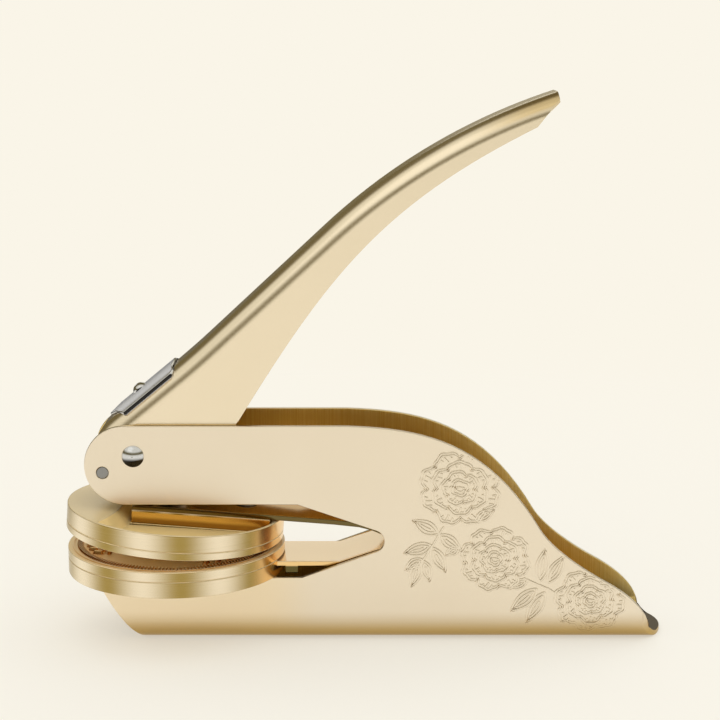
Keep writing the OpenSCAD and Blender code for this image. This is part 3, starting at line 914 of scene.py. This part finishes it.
def leaf(base, angle, length, width):
    """Two pointed ovals, one inside the other, and a short vein."""
    c = math.cos(math.radians(angle))
    s = math.sin(math.radians(angle))
    lines = []
    for share in (1.0, INNER_OVAL):
        points = []
        for i in range(33):
            t = i / 16
            u = t if t <= 1 else 2 - t
            side = 1 if t <= 1 else -1
            half = side * width / 2 * share * math.sin(math.pi * u**0.85)
            d = length * (0.5 + (u - 0.5) * (0.5 + 0.5 * share))
            points.append((base[0] + d * c - half * s, base[1] + d * s + half * c))
        lines.append(points)
    vein = [(base[0] + length * t * c, base[1] + length * t * s) for t in (0.3, 0.5, 0.72)]
    return [*lines, vein]


# %% The spray: a place on the wall, then sizes
BLOSSOMS = [((65.0, 36.0), 9.3, 0.3), ((73.1, 19.4), 8.1, 1.4), ((95.0, 9.6), 8.2, 2.3)]
LEAVES = [
    ((60.2, 25.4), 152, 6.6, 3.0), ((60.4, 25.2), -38, 6.4, 2.9), ((58.8, 22.6), 196, 6.6, 2.8),
    ((58.8, 22.2), -62, 6.6, 2.8), ((56.6, 19.4), 214, 4.6, 2.4), ((57.0, 19.0), -75, 5.0, 2.3),
    ((56.0, 18.6), 252, 6.0, 2.5), ((64.9, 22.4), 215, 3.6, 2.0), ((68.6, 28.6), 30, 4.8, 2.2),
    ((83.4, 14.2), 82, 7.6, 2.8), ((85.2, 13.8), 60, 7.4, 2.7), ((82.8, 12.4), 222, 8.0, 3.0),
    ((84.6, 11.6), 240, 8.4, 3.0), ((80.6, 14.4), 205, 4.6, 2.0),
]
STEMS = [
    [(61.4, 27.0), (60.2, 25.0), (58.6, 22.0), (56.8, 19.2), (55.8, 17.4)],
    [(79.6, 15.0), (82.6, 13.6), (85.4, 12.4), (87.2, 11.2)],
]
strokes = []
for details in BLOSSOMS:
    strokes += blossom(*details)
for details in LEAVES:
    strokes += leaf(*details)
strokes += STEMS
print("strokes", len(strokes))

# %% Where the wall is
WALL = 10
FOLD = 4.5
FOLD_MIDDLE = WALL - FOLD
LOWEST = 1.4
LAST_X = 107.4
MARGIN = 0.55
BACK_CURVES = [
    ([(39.5, 0, 50.3), (56.8, 0, 49.7), (71, 0, 46.8), (83.3, 0, 26.3)], 30),
    ([(83.3, 0, 26.3), (86, 0, 21.8), (93, 0, 17), (98.2, 0, 14.1)], 15),
    ([(98.2, 0, 14.1), (103.2, 0, 11.3), (108.3, 0, 7.5), (108.8, 0, 2.7)], 15),
]
back_edge = [p for points, count in BACK_CURVES for p in curve(points, count)]


def wall_top(x):
    """How high the wall is: level at first, and then down along its back edge."""
    if x < back_edge[0].x:
        return back_edge[0].z
    for a, b in zip(back_edge, back_edge[1:]):
        if a.x <= x <= b.x and b.x > a.x:
            return a.z + (b.z - a.z) * (x - a.x) / (b.x - a.x)
    return 0


def on_wall(x, z):
    """The wall is flat down to the fold, which rounds off under the body."""
    if z >= FOLD:
        return (x, -WALL, z)
    return (x, -FOLD_MIDDLE - math.sqrt(FOLD**2 - (FOLD - z) ** 2), z)


def kept_runs(points):
    """Cuts a stroke where it would leave the wall, and keeps the parts on it."""
    runs, run = [], []
    for x, z in points:
        if LOWEST < z < wall_top(x) - MARGIN and x < LAST_X:
            run.append(on_wall(x, z))
        else:
            runs.append(run)
            run = []
    return [r for r in (*runs, run) if len(r) > 1]


print("wall's top over the first blossom", wall_top(BLOSSOMS[0][0][0]))

# %% Lay the lines on the wall
STROKE_RADIUS = 0.26
FLAT_HEIGHT = 0.95
FOLD_HEIGHT = 0.6


def press(v):
    """Lowers a line's point towards the wall: a little on the flat, and more on the fold."""
    if v.co.z > FOLD * MM:
        v.co.y = (v.co.y + WALL * MM) * FLAT_HEIGHT - WALL * MM
    else:
        middle = Vector((v.co.x, -FOLD_MIDDLE * MM, FOLD * MM))
        out = v.co - middle
        reach = FOLD * MM + (out.length - FOLD * MM) * FOLD_HEIGHT
        v.co = middle + out.normalized() * reach


spray = bmesh.new()
for stroke in strokes:
    for run in kept_runs(stroke):
        mesh = wire("stroke", run, STROKE_RADIUS, 1)
        spray.from_mesh(mesh)
        bpy.data.meshes.remove(mesh)
for v in spray.verts:
    press(v)
bmesh.ops.mirror(spray, geom=everything(spray), axis="Y", merge_dist=0)
bmesh.ops.recalc_face_normals(spray, faces=spray.faces)
smooth(piece("floral_spray", spray, "base", "body_gold"), 60)

# %% [markdown]
# ## The relief on the lower die
# The face of the lower die is cut in relief: a fine ring of ribs inside the rim, and
# within it a generic wreath and a rosette. Sculpting or a displaced grid would need a
# very dense mesh for such fine ribs, so each mark is a small block of a few faces, set
# round the disc. All stay lower than the pocket of the upper die, so the dies close.

# %% One raised mark
FACE = 20.92
SUNK = 0.1
RIB = {"segments": 4, "radius1": 0.7, "radius2": 0.55}
PETAL = {"segments": 8, "radius1": 0.6, "radius2": 0.4}


def mark(bm, kind, radius, angle, size, turn=0.0):
    """Adds a mark of a size along the radius, across it and up, at a place on the disc."""
    deep, wide, high = size
    place = Matrix.Rotation(angle, 4, "Z")
    place = place @ Matrix.Translation((radius, 0, FACE + (high - SUNK) / 2))
    place = place @ Matrix.Rotation(turn, 4, "Z")
    shape = Matrix.Diagonal((deep, wide, high + SUNK, 1))
    corner = Matrix.Rotation(math.pi / 4 if kind is RIB else 0, 4, "Z")
    matrix = Matrix.Scale(MM, 4) @ place @ shape @ corner
    bmesh.ops.create_cone(bm, cap_ends=True, depth=1, matrix=matrix, **kind)


# %% Ribs, wreath and rosette
RIBS = 180
RIBS_AT = 22.2
RIB_SIZE = (1.5, 0.36, 0.5)
WREATH = 44
WREATH_ROWS = [(19.9, 0, (1.15, 2.4, 0.72), 0.75), (17.6, 0.06, (1.05, 2.2, 0.66), -0.75)]
BARE = (215, 292)
PETALS = 8
PETAL_ROWS = [(7.2, 0, (9.0, 3.6, 0.6)), (12.6, math.pi / PETALS, (3.4, 1.9, 0.5))]
BUTTON_SIZE = (4.6, 4.6, 0.72)

relief = bmesh.new()
for i in range(RIBS):
    mark(relief, RIB, RIBS_AT, 2 * math.pi * i / RIBS, RIB_SIZE)
for i in range(WREATH):
    a = 2 * math.pi * i / WREATH
    if not BARE[0] < math.degrees(a) < BARE[1]:
        for radius, shift, size, turn in WREATH_ROWS:
            mark(relief, PETAL, radius, a + shift, size, turn)
for i in range(PETALS):
    for radius, shift, size in PETAL_ROWS:
        mark(relief, PETAL, radius, 2 * math.pi * i / PETALS + shift, size)
mark(relief, PETAL, 0, 0, BUTTON_SIZE)
print("relief so far", len(relief.faces), "faces")

# %% Two fine rings, and the whole relief
FINE_RINGS = (23.6, 15.0)
RING_WIDE = 0.35
RING_HIGH = 0.22

for radius in FINE_RINGS:
    outer = radius + RING_WIDE
    low = FACE - SUNK
    high = FACE + RING_HIGH
    corners = [(radius, 0, low), (radius, 0, high), (outer, 0, high), (outer, 0, low)]
    profile = [relief.verts.new(Vector(p) * MM) for p in corners]
    edges = [relief.edges.new(pair) for pair in zip(profile, profile[1:])]
    bmesh.ops.spin(
        relief, geom=profile + edges, cent=(0, 0, 0), axis=(0, 0, 1), dvec=(0, 0, 0),
        angle=2 * math.pi, steps=128, use_merge=True, use_duplicate=False,
    )
bmesh.ops.recalc_face_normals(relief, faces=relief.faces)
smooth(piece("die_relief", relief, "clip", "die_gold"), 30)

# %% [markdown]
# ## The studio
# Metal shows what stands round it. A bright ceiling, a bright low front and a dark band
# between them give each round edge its light and dark lines, and a bright card behind
# lights the top of the lower arm. The camera itself sees only a warm white background.
# Boxes of light could do all this, but ramps in the world are quick and easy to move.

# %% Floor
PAPER = tone(250, 246, 235)
PAPER_FAR = tone(250, 245, 232)
BLACK = (0, 0, 0, 1)


def floor_finish():
    """Near the object the floor half glows and half takes shadows; further off it glows."""
    m = Finish("paper", Roughness=1, Specular_IOR_Level=0, Emission_Strength=1)
    x, y = m.split(m.place())[:2]
    away = ((x - 42) * (x - 42) + y * y).math("SQRT")
    colour = away.ramp(60, 420).blend(PAPER, PAPER_FAR)
    glow = away.ramp(90, 300, 0.5, 1)
    mirrored = m.node("ShaderNodeLightPath", output="Is Glossy Ray")
    behind_left = y.ramp(60, 200) * x.ramp(60, -60)
    m.set(Base_Color=glow.blend(colour, BLACK))
    m.set(Emission_Color=(glow * (1 - mirrored * behind_left * 0.88)).blend(BLACK, colour))
    return m.material


sheet = bmesh.new()
bmesh.ops.create_grid(sheet, x_segments=8, y_segments=8, size=4)
data = bpy.data.meshes.new("floor")
sheet.to_mesh(data)
sheet.free()
floor = bpy.data.objects.new("floor", data)
scene.collection.objects.link(floor)
data.materials.append(floor_finish())
print("floor", tuple(floor.dimensions))

# %% World
SKY_DARK = (0.15, 0.12, 0.05, 1)
SKY_BRIGHT = (1.10, 1.10, 1.09, 1)
SKY_MIRRORED = (0.84, 0.81, 0.70, 1)

world = bpy.data.worlds.new("studio")
scene.world = world
world.use_nodes = True
tree = world.node_tree
tree.nodes.clear()
way = node(tree, "ShaderNodeTexCoord", output="Generated")
side_x, side_y, up = [node(tree, "ShaderNodeSeparateXYZ", {}, {0: way}, i) for i in range(3)]
seen = node(tree, "ShaderNodeLightPath", output="Is Camera Ray")
mirrored = node(tree, "ShaderNodeLightPath", output="Is Glossy Ray")

low_front = up.ramp(0.05, 0.13, 1, 0) * side_y.ramp(0.2, -0.2)
ceiling = up.ramp(0.28, 0.5)
dark_behind = mirrored * side_y.ramp(-0.05, 0.35)
card = side_y.ramp(0.2, 0.5) * side_x.ramp(-0.2, -0.1) * up.ramp(0.16, 0.22) * up.ramp(0.55, 0.45)
level = low_front.math("MAXIMUM", ceiling) * (1 - dark_behind)
level = level.math("MAXIMUM", card)
sky = level.blend(SKY_DARK, mirrored.blend(SKY_BRIGHT, SKY_MIRRORED))

studio = node(tree, "ShaderNodeBackground", {}, {"Color": sky, "Strength": 1.0})
backdrop = node(tree, "ShaderNodeBackground", {}, {"Color": PAPER_FAR, "Strength": 1.0})
mixed = node(tree, "ShaderNodeMixShader", {}, {0: seen, 1: studio, 2: backdrop})
out = tree.nodes.new("ShaderNodeOutputWorld")
tree.links.new(mixed.socket, out.inputs["Surface"])
print("world nodes", len(tree.nodes))

# %% A soft lamp
LAMP_AT = Vector((-0.35, -0.55, 0.75))
LAMP_AIM = Vector((0.03, 0, 0.04))

data = bpy.data.lights.new("key", "AREA")
data.size = 0.6
data.energy = 0.3
lamp = bpy.data.objects.new("key", data)
lamp.location = LAMP_AT
lamp.rotation_euler = (LAMP_AIM - LAMP_AT).to_track_quat("-Z", "Y").to_euler()
scene.collection.objects.link(lamp)
print("lamp at", tuple(LAMP_AT))
